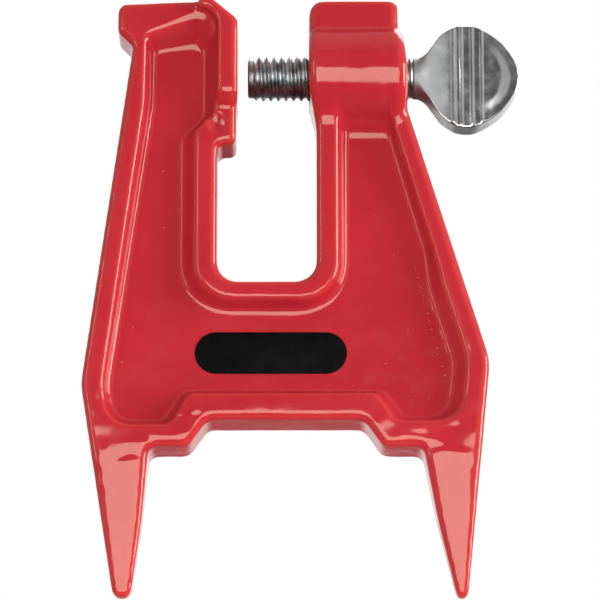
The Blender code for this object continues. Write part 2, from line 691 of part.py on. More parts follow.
def make_clamp_screw():
    """Makes the screw's stud, with a chamfered tip and a spigot that the paddle is fixed on."""
    radius = THREAD_DIAMETER / 2
    shank = NECK_X - TIP_X - SEAT_GAP
    stations = (
        (0, radius - TIP_CHAMFER_DEPTH),
        (TIP_CHAMFER_LENGTH, radius),
        (shank, radius),
        (shank, SPIGOT_DIAMETER / 2),
        (shank + SPIGOT_LENGTH, SPIGOT_DIAMETER / 2),
    )
    screw = make_object("clamp_screw", turned(stations, 0))
    screw.location = (TIP_X, 0, SCREW_HEIGHT)
    finish(screw, (0.32, 0.32, 0.31), 0.38, 1.0, math.radians(30))
    return screw


def paddle_stations():
    """Gives the paddle's (x, half width) stations, on a smooth curve through its outline shares."""
    neck = NECK_DIAMETER / PADDLE_WIDTH
    shares = [(0, neck), (FLARE_START_SHARE, neck), *PADDLE_OUTLINE_SHARES]
    last_x, last_width = shares[-2]
    ends = [(-FLARE_START_SHARE, neck)] + shares + [(last_x, -last_width)]
    points = [Vector((x * PADDLE_LENGTH, width * PADDLE_WIDTH / 2)) for x, width in ends]
    stations = []
    for before, start, end, after in zip(points, points[1:], points[2:], points[3:]):
        for step in range(PADDLE_STEPS):
            t = step / PADDLE_STEPS
            bend = (end - before) * t + (before * 2 - start * 5 + end * 4 - after) * t ** 2
            bend += (start * 3 - before - end * 3 + after) * t ** 3
            stations.append(start + bend / 2)
    return stations


def paddle_half_thickness(x):
    """Gives the paddle's half thickness at a place, thick at the neck and rounded at the end."""
    neck = NECK_DIAMETER / 2
    thin = PADDLE_THICKNESS / 2
    start = FLARE_START_SHARE * PADDLE_LENGTH
    end = FLARE_END_SHARE * PADDLE_LENGTH
    share = min(1, max(0, (x - start) / (end - start)))
    half = neck + (thin - neck) * share * share * (3 - 2 * share)
    short = min(1, max(0, 1 - (PADDLE_LENGTH - x) / PADDLE_EDGE_RADIUS))
    return half - PADDLE_EDGE_RADIUS * (1 - math.sqrt(1 - short ** 2)), share


def paddle_shape():
    """Lofts the paddle along x, from a round neck to a flat rounded blade."""
    neck = NECK_DIAMETER / 2
    rings = []
    for station in paddle_stations():
        half, share = paddle_half_thickness(station.x)
        width = station.y
        round_off = min(half, width, neck + (PADDLE_EDGE_RADIUS - neck) * share)
        ring = []
        for corner_y, corner_z, first in ((1, 1, 0), (-1, 1, 1), (-1, -1, 2), (1, -1, 3)):
            for step in range(SECTION_STEPS + 1):
                angle = math.pi / 2 * (first + step / SECTION_STEPS)
                y = corner_y * (half - round_off) + round_off * math.cos(angle)
                z = corner_z * (width - round_off) + round_off * math.sin(angle) - PADDLE_DROP * share
                ring.append(Vector((station.x, y, z)))
        rings.append(ring)
    return loft(rings)


def ridge_shape():
    """Makes the finger ridges of both faces, as round bars across the blade."""
    ridges = bmesh.new()
    stations = paddle_stations()
    rise = RIDGE_HEIGHT
    for share in RIDGE_PLACE_SHARES:
        x = share * PADDLE_LENGTH
        width = min(station.y for station in stations if abs(station.x - x) < RIDGE_WIDTH / 2)
        reach = width - RIDGE_MARGIN
        for side in (-1, 1):
            base = side * (paddle_half_thickness(x)[0] - BLEND_SINK)
            first, last = [], []
            for step in range(RIDGE_STEPS + 1):
                angle = math.pi * step / RIDGE_STEPS
                offset = RIDGE_WIDTH / 2 * math.cos(angle)
                y = base + side * (rise + BLEND_SINK) * math.sin(angle)
                end = reach - rise * math.sin(angle)
                first.append(ridges.verts.new((x + offset, y, -end - PADDLE_DROP)))
                last.append(ridges.verts.new((x + offset, y, end - PADDLE_DROP)))
            for index in range(len(first)):
                following = (index + 1) % len(first)
                ridges.faces.new((first[index], first[following], last[following], last[index]))
            ridges.faces.new(list(reversed(first)))
            ridges.faces.new(last)
    bmesh.ops.recalc_face_normals(ridges, faces=ridges.faces[:])
    return ridges


def make_thumb_paddle():
    """Makes the paddle that is fixed on the screw's end and turned by hand."""
    paddle = make_object("thumb_paddle", paddle_shape())
    combine(paddle, "paddle_ridges", ridge_shape(), "UNION")
    socket_radius = SPIGOT_DIAMETER / 2 + SEAT_GAP
    socket = ((-OVERRUN, socket_radius), (SPIGOT_LENGTH, socket_radius))
    combine(paddle, "paddle_socket", turned(socket, 0), "DIFFERENCE")
    paddle.location = (NECK_X, 0, SCREW_HEIGHT)
    finish(paddle, (0.62, 0.62, 0.61), 0.22, 1.0, math.radians(40))
    return paddle


def main():
    """Builds the vise, with all its pieces carried by one empty."""
    for old in list(bpy.data.objects):
        bpy.data.objects.remove(old)
    vise = bpy.data.objects.new("filing_vise", None)
    bpy.context.scene.collection.objects.link(vise)
    for piece in (make_cast_frame(), make_clamp_screw(), make_thumb_paddle()):
        piece.parent = vise


main()
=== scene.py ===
"""Dresses the chainsaw filing vise: enamelled casting, threaded screw and plated thumb paddle.

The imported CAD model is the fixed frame. Each visible piece rides on one of its bodies. x runs
along the thumb screw towards the paddle, z is up, and the front of the vise faces -y.
"""

from __future__ import annotations

import logging
import math
from dataclasses import dataclass
from enum import Enum
from typing import Any, Callable

import bmesh
import bpy
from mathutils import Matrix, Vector, noise

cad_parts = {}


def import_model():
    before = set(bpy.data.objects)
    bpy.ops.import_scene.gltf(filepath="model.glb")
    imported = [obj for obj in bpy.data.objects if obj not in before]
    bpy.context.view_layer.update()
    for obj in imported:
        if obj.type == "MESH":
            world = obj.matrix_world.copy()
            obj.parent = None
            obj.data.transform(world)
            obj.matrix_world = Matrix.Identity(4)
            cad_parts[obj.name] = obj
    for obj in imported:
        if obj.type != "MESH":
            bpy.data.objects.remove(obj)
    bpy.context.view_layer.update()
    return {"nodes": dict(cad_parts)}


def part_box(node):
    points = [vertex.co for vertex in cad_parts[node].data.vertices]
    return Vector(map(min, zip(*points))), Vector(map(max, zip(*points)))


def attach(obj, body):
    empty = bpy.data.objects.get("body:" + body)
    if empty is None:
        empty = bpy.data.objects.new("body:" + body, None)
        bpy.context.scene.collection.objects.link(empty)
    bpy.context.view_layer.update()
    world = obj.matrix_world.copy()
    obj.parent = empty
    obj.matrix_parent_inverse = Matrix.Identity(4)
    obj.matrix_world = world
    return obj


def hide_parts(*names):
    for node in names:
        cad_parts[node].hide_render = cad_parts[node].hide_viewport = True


LOG = logging.getLogger("filing_vise")
MM = 0.001
Colour = tuple[float, float, float]
Point = tuple[float, float, float]
Spot = tuple[float, float]
Span = tuple[float, float]

# The Mix node's colour sockets come after those for numbers and vectors.
MIX_FIRST, MIX_SECOND, MIX_RESULT = 6, 7, 2


class Body(Enum):
    """The CAD bodies that pieces ride on."""

    FRAME = "frame"
    PADDLE = "paddle"


class Slot(Enum):
    """The record's material slots."""

    ENAMEL = "red_enamel"
    SCREW = "screw_steel"
    PLATED = "plated_steel"


class Bench:
    """Short forms of the operators that shape a piece by hand."""

    @staticmethod
    def pick(piece: bpy.types.Object) -> bpy.types.Object:
        """Deselects everything and then selects one piece.

        Args:
            piece: the object to work on.

        Returns:
            The same object, selected and active.
        """
        if bpy.context.object and bpy.context.object.mode != "OBJECT":
            bpy.ops.object.mode_set(mode="OBJECT")
        bpy.ops.object.select_all(action="DESELECT")
        piece.select_set(True)
        bpy.context.view_layer.objects.active = piece
        return piece

    @staticmethod
    def clear() -> None:
        """Deselects everything, so that a new primitive is the only selected object."""
        bpy.ops.object.select_all(action="DESELECT")

    @staticmethod
    def edit(piece: bpy.types.Object) -> None:
        """Opens a piece in edit mode with all of its mesh selected.

        Args:
            piece: the object to open.
        """
        Bench.pick(piece)
        bpy.ops.object.mode_set(mode="EDIT")
        bpy.ops.mesh.select_mode(type="VERT")
        bpy.ops.mesh.select_all(action="SELECT")

    @staticmethod
    def close() -> None:
        """Leaves edit mode."""
        bpy.ops.object.mode_set(mode="OBJECT")

    @staticmethod
    def modify(piece: bpy.types.Object, kind: str, **values: Any) -> None:
        """Adds a modifier with its values and applies it.

        Args:
            piece: the object that gets the modifier.
            kind: the modifier's type, such as "REMESH".
            values: the modifier's settings.
        """
        Bench.pick(piece)
        modifier = piece.modifiers.new(kind.lower(), kind)
        for name, value in values.items():
            setattr(modifier, name, value)
        bpy.ops.object.modifier_apply(modifier=modifier.name)

    @staticmethod
    def weld(piece: bpy.types.Object, reach: float = 0.01 * MM) -> None:
        """Merges the doubled points of a piece.

        Args:
            piece: the object to mend.
            reach: how far apart two points may be and still be merged.
        """
        Bench.edit(piece)
        bpy.ops.mesh.remove_doubles(threshold=reach)
        Bench.close()

    @staticmethod
    def outward(piece: bpy.types.Object) -> None:
        """Turns all faces of a closed piece outwards.

        Args:
            piece: the object to mend.
        """
        Bench.edit(piece)
        bpy.ops.mesh.normals_make_consistent(inside=False)
        Bench.close()

    @staticmethod
    def cut(piece: bpy.types.Object, place: Point, normal: Point) -> None:
        """Cuts a closed piece with a plane and caps the cut.

        Args:
            piece: the object to cut.
            place: a point on the plane.
            normal: the plane's normal, which points at the side that is removed.
        """
        Bench.edit(piece)
        bpy.ops.mesh.bisect(
            plane_co=place, plane_no=normal, use_fill=True, clear_outer=True, threshold=0.001 * MM
        )
        Bench.close()

    @staticmethod
    def copy_node(node: bpy.types.Object, name: str) -> bpy.types.Object:
        """Copies a CAD node's mesh into a new piece and merges its loose triangles.

        Args:
            node: the CAD node's object.
            name: the new piece's name.

        Returns:
            The new piece, which shows the same shape.
        """
        piece = bpy.data.objects.new(name, node.data.copy())
        bpy.context.scene.collection.objects.link(piece)
        piece.data.materials.clear()
        Bench.weld(piece)
        return piece

    @staticmethod
    def move_points(piece: bpy.types.Object, rule: Callable[[Vector], Vector]) -> None:
        """Moves every point of a piece by a rule.

        Args:
            piece: the object to shape.
            rule: gives a point's new place from its old one.
        """
        shape = bmesh.new()
        shape.from_mesh(piece.data)
        for vertex in shape.verts:
            vertex.co = rule(vertex.co)
        shape.to_mesh(piece.data)
        shape.free()
        piece.data.update()

    @staticmethod
    def swell_points(piece: bpy.types.Object, rule: Callable[[Vector, Vector], float]) -> None:
        """Moves every point of a piece along its normal by a rule.

        Args:
            piece: the object to shape.
            rule: gives a distance from a point's place and its normal.
        """
        shape = bmesh.new()
        shape.from_mesh(piece.data)
        shape.normal_update()
        moves = [vertex.normal * rule(vertex.co, vertex.normal) for vertex in shape.verts]
        for vertex, move in zip(shape.verts, moves):
            vertex.co += move
        shape.to_mesh(piece.data)
        shape.free()
        piece.data.update()

    @staticmethod
    def smooth(piece: bpy.types.Object, angle: float | None = None) -> None:
        """Shades a piece smooth.

        Args:
            piece: the object to shade.
            angle: faces that meet more steeply than this keep a sharp edge, in degrees.
        """
        Bench.pick(piece)
        if angle is None:
            bpy.ops.object.shade_smooth()
        else:
            bpy.ops.object.shade_smooth_by_angle(angle=math.radians(angle))


@dataclass(frozen=True)
class Grain:
    """Noise that a colour or a roughness follows, and the part of its range in use."""

    scale: float
    detail: float
    low: float = 0.3
    high: float = 0.7
    stretch: Point = (1, 1, 1)


@dataclass(frozen=True)
class Relief:
    """Noise that lifts a surface, with the strength and the real height of its bump."""

    scale: float
    detail: float
    strength: float
    height: float
    stretch: Point = (1, 1, 1)


class Sketch:
    """Lays out the shader nodes of one material."""

    def __init__(self, name: str) -> None:
        """Starts a material with only its output and its Principled shader.

        Args:
            name: the material's name.
        """
        self.material = bpy.data.materials.new(name)
        self.material.use_nodes = True
        self.tree = self.material.node_tree
        self.shader = self.tree.nodes["Principled BSDF"]
        self.place = self.node("ShaderNodeTexCoord").outputs["Object"]

    def node(self, kind: str, **values: Any) -> bpy.types.Node:
        """Adds a node and sets its properties.

        Args:
            kind: the node's type.
            values: properties of the node.

        Returns:
            The new node.
        """
        made = self.tree.nodes.new(kind)
        for name, value in values.items():
            setattr(made, name, value)
        return made

    def link(self, source: Any, target: Any) -> None:
        """Links an output to an input."""
        self.tree.links.new(source, target)

    def noise(self, scale: float, detail: float = 2.0, stretch: Point = (1, 1, 1)) -> Any:
        """Adds noise on object coordinates.

        Args:
            scale: how many features there are in a metre.
            detail: how many finer layers it has.
            stretch: scale factors along x, y and z.

        Returns:
            The noise's value output.
        """
        mapping = self.node("ShaderNodeMapping")
        mapping.inputs["Scale"].default_value = stretch
        self.link(self.place, mapping.inputs["Vector"])
        texture = self.node("ShaderNodeTexNoise")
        texture.inputs["Scale"].default_value = scale
        texture.inputs["Detail"].default_value = detail
        self.link(mapping.outputs["Vector"], texture.inputs["Vector"])
        return texture.outputs["Fac"]

    def remap(self, source: Any, low: float, high: float, to_low: float, to_high: float) -> Any:
        """Maps a value from one range to another, with its ends held.

        Args:
            source: the value output to map.
            low: the start of the incoming range.
            high: the end of the incoming range.
            to_low: the value at the start.
            to_high: the value at the end.

        Returns:
            The mapped value output.
        """
        mapper = self.node("ShaderNodeMapRange")
        for name, value in (
            ("From Min", low), ("From Max", high), ("To Min", to_low), ("To Max", to_high),
        ):
            mapper.inputs[name].default_value = value
        self.link(source, mapper.inputs["Value"])
        return mapper.outputs["Result"]

    def blend(self, share: Any, first: Any, second: Any) -> Any:
        """Mixes two colours by a share.

        Args:
            share: the value output that says how much of the second colour shows.
            first: a colour, or a colour output.
            second: a colour, or a colour output.

        Returns:
            The mixed colour output.
        """
        mix = self.node("ShaderNodeMix", data_type="RGBA")
        self.link(share, mix.inputs["Factor"])
        for socket, value in ((mix.inputs[MIX_FIRST], first), (mix.inputs[MIX_SECOND], second)):
            if isinstance(value, tuple):
                socket.default_value = (*value, 1)
            else:
                self.link(value, socket)
        return mix.outputs[MIX_RESULT]

    def bump(self, height: Any, strength: float, distance: float, below: Any = None) -> Any:
        """Adds a bump from a height.

        Args:
            height: the height's value output.
            strength: how strongly the bump shows, from 0 to 1.
            distance: the real height of the bump, in metres.
            below: the normal output of a bump that this one lies on.

        Returns:
            The bumped normal output.
        """
        bump = self.node("ShaderNodeBump")
        bump.inputs["Strength"].default_value = strength
        bump.inputs["Distance"].default_value = distance
        self.link(height, bump.inputs["Height"])
        if below is not None:
            self.link(below, bump.inputs["Normal"])
        return bump.outputs["Normal"]

    def tone(self, grain: Grain, low: float = 0.0, high: float = 1.0) -> Any:
        """Adds noise that runs between two values.

        Args:
            grain: the noise and the part of its range in use.
            low: the value where the noise is low.
            high: the value where the noise is high.

        Returns:
            The value output.
        """
        source = self.noise(grain.scale, grain.detail, grain.stretch)
        return self.remap(source, grain.low, grain.high, low, high)

    def relief(self, relief: Relief, below: Any = None) -> Any:
        """Adds a bump that follows noise.

        Args:
            relief: the noise and the size of its bump.
            below: the normal output of a bump that this one lies on.

        Returns:
            The bumped normal output.
        """
        source = self.noise(relief.scale, relief.detail, relief.stretch)
        return self.bump(source, relief.strength, relief.height, below)

    def set(self, **values: Any) -> None:
        """Sets the shader's own sockets. An underscore in a name stands for a space."""
        for name, value in values.items():
            self.shader.inputs[name.replace("_", " ")].default_value = value


@dataclass(frozen=True)
class RedEnamel:
    """Thick gloss enamel on rough cast iron."""

    body: Colour = (0.505, 0.023, 0.035)
    thin: Colour = (0.56, 0.039, 0.032)
    pooled: Colour = (0.455, 0.018, 0.029)
    gloss_tint: Colour = (1.0, 0.98, 0.78)
    specular: float = 0.5
    pooling: Grain = Grain(55, 3, 0.35, 0.68)
    crest: Span = (0.50, 0.56)
    wear: Grain = Grain(240, 4, 0.35, 0.7)
    roughness: Span = (0.07, 0.15)
    peel: Relief = Relief(420, 2, 0.5, 0.03 * MM)
    speck_scale: float = 150
    speck_reach: Span = (0.01, 0.055)
    speck_chance: Span = (0.86, 0.88)
    speck_strength: float = 0.5
    speck_height: float = 0.06 * MM

    def specks(self, sketch: Sketch) -> Any:
        """Adds sparse specks of dust.

        Args:
            sketch: the material's layout.

        Returns:
            The output with the specks' height.
        """
        dots = sketch.node("ShaderNodeTexVoronoi", feature="F1")
        dots.inputs["Scale"].default_value = self.speck_scale
        dots.inputs["Randomness"].default_value = 1.0
        sketch.link(sketch.place, dots.inputs["Vector"])
        speck = sketch.remap(dots.outputs["Distance"], *self.speck_reach, 1, 0)
        chance = sketch.node("ShaderNodeSeparateColor")
        sketch.link(dots.outputs["Color"], chance.inputs["Color"])
        rare = sketch.remap(chance.outputs["Red"], *self.speck_chance, 0, 1)
        height = sketch.node("ShaderNodeMath", operation="MULTIPLY")
        sketch.link(speck, height.inputs[0])
        sketch.link(rare, height.inputs[1])
        return height.outputs["Value"]

    def make(self) -> bpy.types.Material:
        """Makes the enamel's material.

        Returns:
            The material.
        """
        sketch = Sketch("red_enamel")
        colour = sketch.blend(sketch.tone(self.pooling), self.pooled, self.body)
        pointiness = sketch.node("ShaderNodeNewGeometry").outputs["Pointiness"]
        crest = sketch.remap(pointiness, *self.crest, 0, 1)
        sketch.link(sketch.blend(crest, colour, self.thin), sketch.shader.inputs["Base Color"])
        sketch.link(sketch.tone(self.wear, *self.roughness), sketch.shader.inputs["Roughness"])
        peel = sketch.relief(self.peel)
        normal = sketch.bump(self.specks(sketch), self.speck_strength, self.speck_height, peel)
        sketch.link(normal, sketch.shader.inputs["Normal"])
        sketch.set(Specular_IOR_Level=self.specular, Specular_Tint=(*self.gloss_tint, 1))
        return sketch.material


@dataclass(frozen=True)
class ScrewSteel:
    """Oiled rolled steel of the screw's thread."""

    light: Colour = (0.50, 0.53, 0.53)
    dark: Colour = (0.19, 0.21, 0.21)
    stain: Grain = Grain(500, 4, 0.35, 0.65)
    polish: Grain = Grain(900, 3)
    roughness: Span = (0.28, 0.46)
    grain: Relief = Relief(2600, 3, 0.35, 0.02 * MM, (1, 0.3, 0.3))

    def make(self) -> bpy.types.Material:
        """Makes the thread's material.

        Returns:
            The material.
        """
        sketch = Sketch("screw_steel")
        colour = sketch.blend(sketch.tone(self.stain), self.dark, self.light)
        sketch.link(colour, sketch.shader.inputs["Base Color"])
        sketch.link(sketch.tone(self.polish, *self.roughness), sketch.shader.inputs["Roughness"])
        sketch.link(sketch.relief(self.grain), sketch.shader.inputs["Normal"])
        sketch.set(Metallic=1.0)
        return sketch.material


@dataclass(frozen=True)
class BrightPlate:
    """Bright plating with faint streaks and stains, and a darker neck that is partly a duller
    finish and partly painted shade.
    """

    light: Colour = (0.68, 0.68, 0.68)
    dark: Colour = (0.48, 0.48, 0.48)
    # Darker neck colour: partly duller plating, partly painted shade that dims the neck's
    # reflection.
    neck: Colour = (0.355, 0.365, 0.365)
    neck_end: float = 28.0 * MM
    blade_start: float = 34.0 * MM
    neck_dullness: float = 0.40
    stain: Grain = Grain(260, 4, 0.36, 0.66, (1.6, 1, 0.6))
    polish: Grain = Grain(420, 3)
    gloss: Span = (0.13, 0.23)
    waves: Relief = Relief(330, 2, 0.3, 0.03 * MM)
    grain: Relief = Relief(2400, 2, 0.2, 0.015 * MM, (1, 1, 0.25))

    def make(self) -> bpy.types.Material:
        """Makes the plating's material.

        Returns:
            The material.
        """
        sketch = Sketch("plated_steel")
        parts = sketch.node("ShaderNodeSeparateXYZ")
        sketch.link(sketch.place, parts.inputs[0])
        along = parts.outputs["X"]
        reach = sketch.remap(along, self.neck_end, self.blade_start, 0, 1)
        blade = sketch.blend(sketch.tone(self.stain), self.dark, self.light)
        # Blends from the darker neck colour, partly painted shade, to the blade between neck_end
        # and blade_start.
        sketch.link(sketch.blend(reach, self.neck, blade), sketch.shader.inputs["Base Color"])
        dull = sketch.remap(along, self.neck_end, self.blade_start, self.neck_dullness, 0)
        rough = sketch.node("ShaderNodeMath", operation="ADD")
        sketch.link(dull, rough.inputs[0])
        sketch.link(sketch.tone(self.polish, *self.gloss), rough.inputs[1])
        sketch.link(rough.outputs["Value"], sketch.shader.inputs["Roughness"])
        grain = sketch.relief(self.grain, sketch.relief(self.waves))
        sketch.link(grain, sketch.shader.inputs["Normal"])
        sketch.set(Metallic=1.0)
        return sketch.material


@dataclass(frozen=True)
class BlackPrint:
    """Matt black print of the plain panel."""

    ink: Colour = (0.0015, 0.0015, 0.0015)
    dusty: Colour = (0.004, 0.0035, 0.0035)
    dust: Grain = Grain(300, 3, 0.4, 0.7)
    polish: Grain = Grain(700, 2)
    roughness: Span = (0.55, 0.70)
    weave: Relief = Relief(420, 2, 0.4, 0.03 * MM)
    specular: float = 0.06

    def make(self) -> bpy.types.Material:
        """Makes the print's material.

        Returns:
            The material.
        """
        sketch = Sketch("black_print")
        colour = sketch.blend(sketch.tone(self.dust), self.ink, self.dusty)
        sketch.link(colour, sketch.shader.inputs["Base Color"])
        sketch.link(sketch.tone(self.polish, *self.roughness), sketch.shader.inputs["Roughness"])
        sketch.link(sketch.relief(self.weave), sketch.shader.inputs["Normal"])
        sketch.set(Specular_IOR_Level=self.specular)
        return sketch.material


@dataclass(frozen=True)
class Dent:
    """One swelling of the front's skin, or a hollow where its rise is below 0, in millimetres."""

    x: float
    z: float
    half_width: float
    half_height: float
    rise: float
    turn: float = 0.0

    def share(self, point: Vector) -> float:
        """Gives how much of the dent shows at a point.

        Args:
            point: a place on the skin.

        Returns:
            The share, from 0 to 1.
        """
        along, up = point.x / MM - self.x, point.z / MM - self.z
        turn = math.radians(self.turn)
        across = (along * math.cos(turn) + up * math.sin(turn)) / self.half_width
        rise = (up * math.cos(turn) - along * math.sin(turn)) / self.half_height
        reach = across * across + rise * rise
        return max(0.0, 1 - reach) ** 2


@dataclass
class Casting:
    """The one-piece casting, softened by its foundry skin and thick enamel."""

    node: bpy.types.Object
    enamel: bpy.types.Material
    voxel: float = 0.50 * MM
    inset: float = 0.005 * MM
    softening: int = 5
    softness: float = 0.5
    flow_scale: Point = (170, 200, 270)
    fine_scale: float = 420
    fine_shift: float = 9
    fine_share: float = 0.45
    ripple: float = 0.036 * MM
    boss_start: float = 0.07
    shoulder_ripple: float = 0.19 * MM
    shoulder_fine_share: float = 0.42
    shoulder_height: float = -1.5
    shoulder_reach: float = 6.5
    side_normal: float = 0.5
    side_share: float = 0.35
    front_normal: float = -0.4
    shrink: float = 0.02 * MM
    dents: tuple[Dent, ...] = (
        Dent(-15.9, 69.3, 2.3, 3.0, -0.75, 20),
        Dent(-18.4, 70.0, 0.7, 1.3, 0.22, 30),
        Dent(-19.6, 7.3, 1.1, 0.8, 0.20),
        Dent(-23.4, 6.7, 0.9, 0.7, 0.18),
        Dent(-39.9, 11.6, 0.9, 2.6, 0.12, 12),
        Dent(-24.0, 2.0, 6.0, 1.3, 0.10, 8),
        Dent(-30.5, 0.4, 4.2, 1.1, 0.12, -4),
        Dent(-33.5, -3.4, 3.6, 1.0, 0.10, 6),
        Dent(27.0, 1.2, 5.0, 1.2, 0.12, -10),
        Dent(33.0, -1.6, 4.6, 1.1, 0.12, -6),
        Dent(36.0, -5.0, 3.0, 1.0, 0.09, 10),
    )

    def swell(self, point: Vector, normal: Vector) -> float:
        """Gives how far a point of the skin stands proud of the solid, along its normal.

        Args:
            point: the point's place.
            normal: the skin's direction there.

        Returns:
            The distance, in metres.
        """
        steps = self.flow_scale
        flow = noise.noise(Vector((point.x * steps[0], point.y * steps[1], point.z * steps[2])))
        spot = point * self.fine_scale + Vector((0, self.fine_shift, 0))
        fine = noise.noise(spot)
        near = math.exp(-(((point.z / MM - self.shoulder_height) / self.shoulder_reach) ** 2))
        boss = 1.0 if point.z > self.boss_start and point.x > 0 else 0.0
        lift = self.ripple * (1 + boss) * (flow + self.fine_share * fine)
        lift += self.shoulder_ripple * near * (flow + self.shoulder_fine_share * fine)
        if abs(normal.y) < self.side_normal:
            lift *= self.side_share
        if normal.y < self.front_normal:
            lift += sum(dent.rise * MM * dent.share(point) for dent in self.dents)
        return lift - self.shrink

    def build(self) -> bpy.types.Object:
        """Makes the casting's visible skin from the solid.

        Returns:
            The skin, which stands for the solid.
        """
        skin = Bench.copy_node(self.node, "casting_skin")
        Bench.modify(skin, "REMESH", mode="VOXEL", voxel_size=self.voxel, use_smooth_shade=True)
        Bench.modify(skin, "SMOOTH", factor=self.softness, iterations=self.softening)
        Bench.swell_points(skin, self.swell)
        low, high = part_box("cast_frame")

        def keep_in(point: Vector) -> Vector:
            """Keeps a point of the skin just inside the solid's box.

            Args:
                point: the point's place.

            Returns:
                Its place, moved in where it stood out.
            """
            return Vector(
                min(max(place, start + self.inset), end - self.inset)
                for place, start, end in zip(point, low, high)
            )

        Bench.move_points(skin, keep_in)
        Bench.smooth(skin)
        skin.data.materials.append(self.enamel)
        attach(skin, Body.FRAME.value)
        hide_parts("cast_frame")
        return skin


@dataclass
class PaintNibs:
    """Specks of dust that the enamel has covered, on the web beside the right rim."""

    enamel: bpy.types.Material
    line_start: Point = (25.6 * MM, -2.3 * MM, 38.5 * MM)
    line_end: Point = (31.2 * MM, -2.3 * MM, 16.0 * MM)
    line_count: int = 13
    drift_seed: Point = (1.7, 0.3, 0.9)
    drift_along: float = 0.4
    drift_aside: float = 0.5 * MM
    line_size: float = 0.26
    size_spread: float = 0.16
    flatness: float = 0.6
    dome_detail: int = 2
    scattered: tuple[tuple[float, float, float], ...] = (
        (-27.1, 59.8, 0.30), (-33.0, 26.0, 0.24), (-30.2, 14.5, 0.22), (-22.5, 35.0, 0.20),
        (-12.0, 12.2, 0.22), (4.6, 9.8, 0.24), (12.4, 13.5, 0.20), (19.2, 18.2, 0.26),
        (23.8, 25.5, 0.24), (21.0, 41.5, 0.22), (17.2, 50.2, 0.24), (28.0, 10.5, 0.28),
        (24.5, 12.0, 0.22), (-35.2, 18.5, 0.24), (9.5, 60.5, 0.22), (13.0, 34.0, 0.20),
    )

    def build(self) -> bpy.types.Object:
        """Makes the nibs as small flattened domes, joined into one piece.

        Returns:
            The piece with all nibs.
        """
        start, end = Vector(self.line_start), Vector(self.line_end)
        step, *seed = self.drift_seed
        places = []
        for index in range(self.line_count):
            drift = noise.noise(Vector((index * step, *seed)))
            share = (index + self.drift_along * drift) / (self.line_count - 1)
            spot = start.lerp(end, share)
            size = (self.line_size + self.size_spread * drift) * MM
            places.append((spot.x + self.drift_aside * drift, spot.z, size))
        places += [(x * MM, z * MM, size * MM) for x, z, size in self.scattered]
        Bench.clear()
        bpy.ops.mesh.primitive_ico_sphere_add(subdivisions=self.dome_detail, radius=MM)
        nibs = bpy.context.object
        nibs.name = nibs.data.name = "paint_nibs"
        dome = [vertex.co.copy() for vertex in nibs.data.vertices]
        faces = [tuple(face.vertices) for face in nibs.data.polygons]
        shape = bmesh.new()
        for x, z, size in places:
            centre, deep = Vector((x, start.y, z)), size * self.flatness
            made = [
                shape.verts.new(centre + Vector((co.x * size, co.y * deep, co.z * size)) / MM)
                for co in dome
            ]
            for face in faces:
                shape.faces.new([made[corner] for corner in face])
        shape.to_mesh(nibs.data)
        shape.free()
        Bench.smooth(nibs)
        nibs.data.materials.append(self.enamel)
        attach(nibs, Body.FRAME.value)
        return nibs


@dataclass
class PrintedPanel:
    """The plain black panel printed on the web."""

    ink: bpy.types.Material
    centre: Point = (-4.4 * MM, -2.3 * MM, 20.4 * MM)
    length: float = 31.4 * MM
    height: float = 8.9 * MM
    thickness: float = 0.12 * MM
    sunk: float = 0.3 * MM
    rim_points: int = 64
    seam: float = 0.01 * MM
    edge: float = 0.05 * MM
    edge_steps: int = 2
    sharp_angle: float = 40

    def build(self) -> bpy.types.Object:
        """Makes the panel as a thin plate with round ends.

        Returns:
            The panel.
        """
        middle, depth, height = self.centre
        Bench.clear()
        bpy.ops.mesh.primitive_cylinder_add(
            vertices=self.rim_points, radius=self.height / 2, depth=self.thickness + self.sunk,
            location=(middle, depth + (self.sunk - self.thickness) / 2, height),
            rotation=(math.pi / 2, 0, 0),
        )
        panel = bpy.context.object
        panel.name = panel.data.name = "web_panel"
        bpy.ops.object.transform_apply(location=True, rotation=True, scale=True)
        stretch = (self.length - self.height) / 2

        def spread(point: Vector) -> Vector:
            """Moves each half of the round plate outwards.

            Args:
                point: the point's place.

            Returns:
                Its new place.
            """
            offset = point.x - middle
            side = 0.0 if abs(offset) < self.seam else math.copysign(stretch, offset)
            return point + Vector((side, 0, 0))

        Bench.move_points(panel, spread)
        Bench.modify(
            panel, "BEVEL", width=self.edge, segments=self.edge_steps, limit_method="ANGLE"
        )
        Bench.smooth(panel, self.sharp_angle)
        panel.data.materials.append(self.ink)
        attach(panel, Body.FRAME.value)
        return panel


def held(value: float) -> float:
    """Holds a value between 0 and 1."""
    return min(1.0, max(0.0, value))


def ease(value: float) -> float:
    """Eases a share in and out."""
    value = held(value)
    return value * value * (3 - 2 * value)


@dataclass(frozen=True)
class Ramp:
    """A share that eases from 0 at its start to 1 after its run, both in millimetres."""

    start: float
    run: float

    def at(self, place: float) -> float:
        """Gives the share at a place, in metres."""
        return ease((place - self.start * MM) / (self.run * MM))


